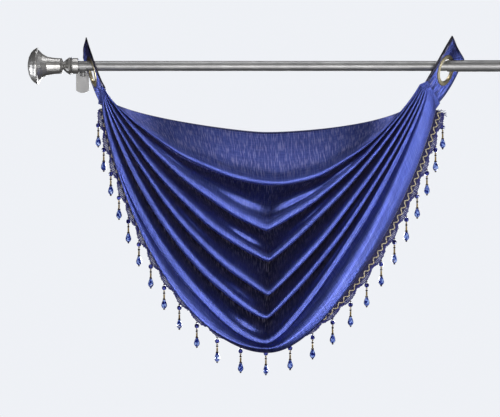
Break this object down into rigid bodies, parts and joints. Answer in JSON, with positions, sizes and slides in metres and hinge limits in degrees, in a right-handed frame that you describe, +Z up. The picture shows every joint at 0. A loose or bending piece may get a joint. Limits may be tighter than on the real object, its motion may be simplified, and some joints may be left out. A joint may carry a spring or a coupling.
{
  "type": "waterfall valance on a curtain rod",
  "caption": "Swagged waterfall valance with beaded braid trim, hung by two grommet tabs from a telescoping rod with trumpet finials and wall brackets.",
  "frame": {"origin": "middle of the left wall plate's back face, which sits on the wall", "axes": "+X along the rod to the right as seen from the room, +Y into the wall, +Z up"},
  "size_m": [1.192, 0.1614, 0.7464],
  "materials": {
    "silk": "royal blue slubbed faux silk with a soft sheen",
    "trim": "navy braid with gold cord and beads",
    "beads": "faceted blue glass",
    "grommet": "antique brass",
    "nickel": "satin nickel"
  },
  "bodies": {
    "root": {"drape": "silk", "tab_left": "silk", "tab_right": "silk", "grommet_left": "grommet", "grommet_right": "grommet", "trim_left": "trim", "trim_bottom": "trim", "trim_right": "trim", "rod_inner": "nickel", "rod_outer": "nickel", "finial_left": "nickel", "finial_right": "nickel", "bracket_left": "nickel", "bracket_right": "nickel"}
  },
  "joints": []
}
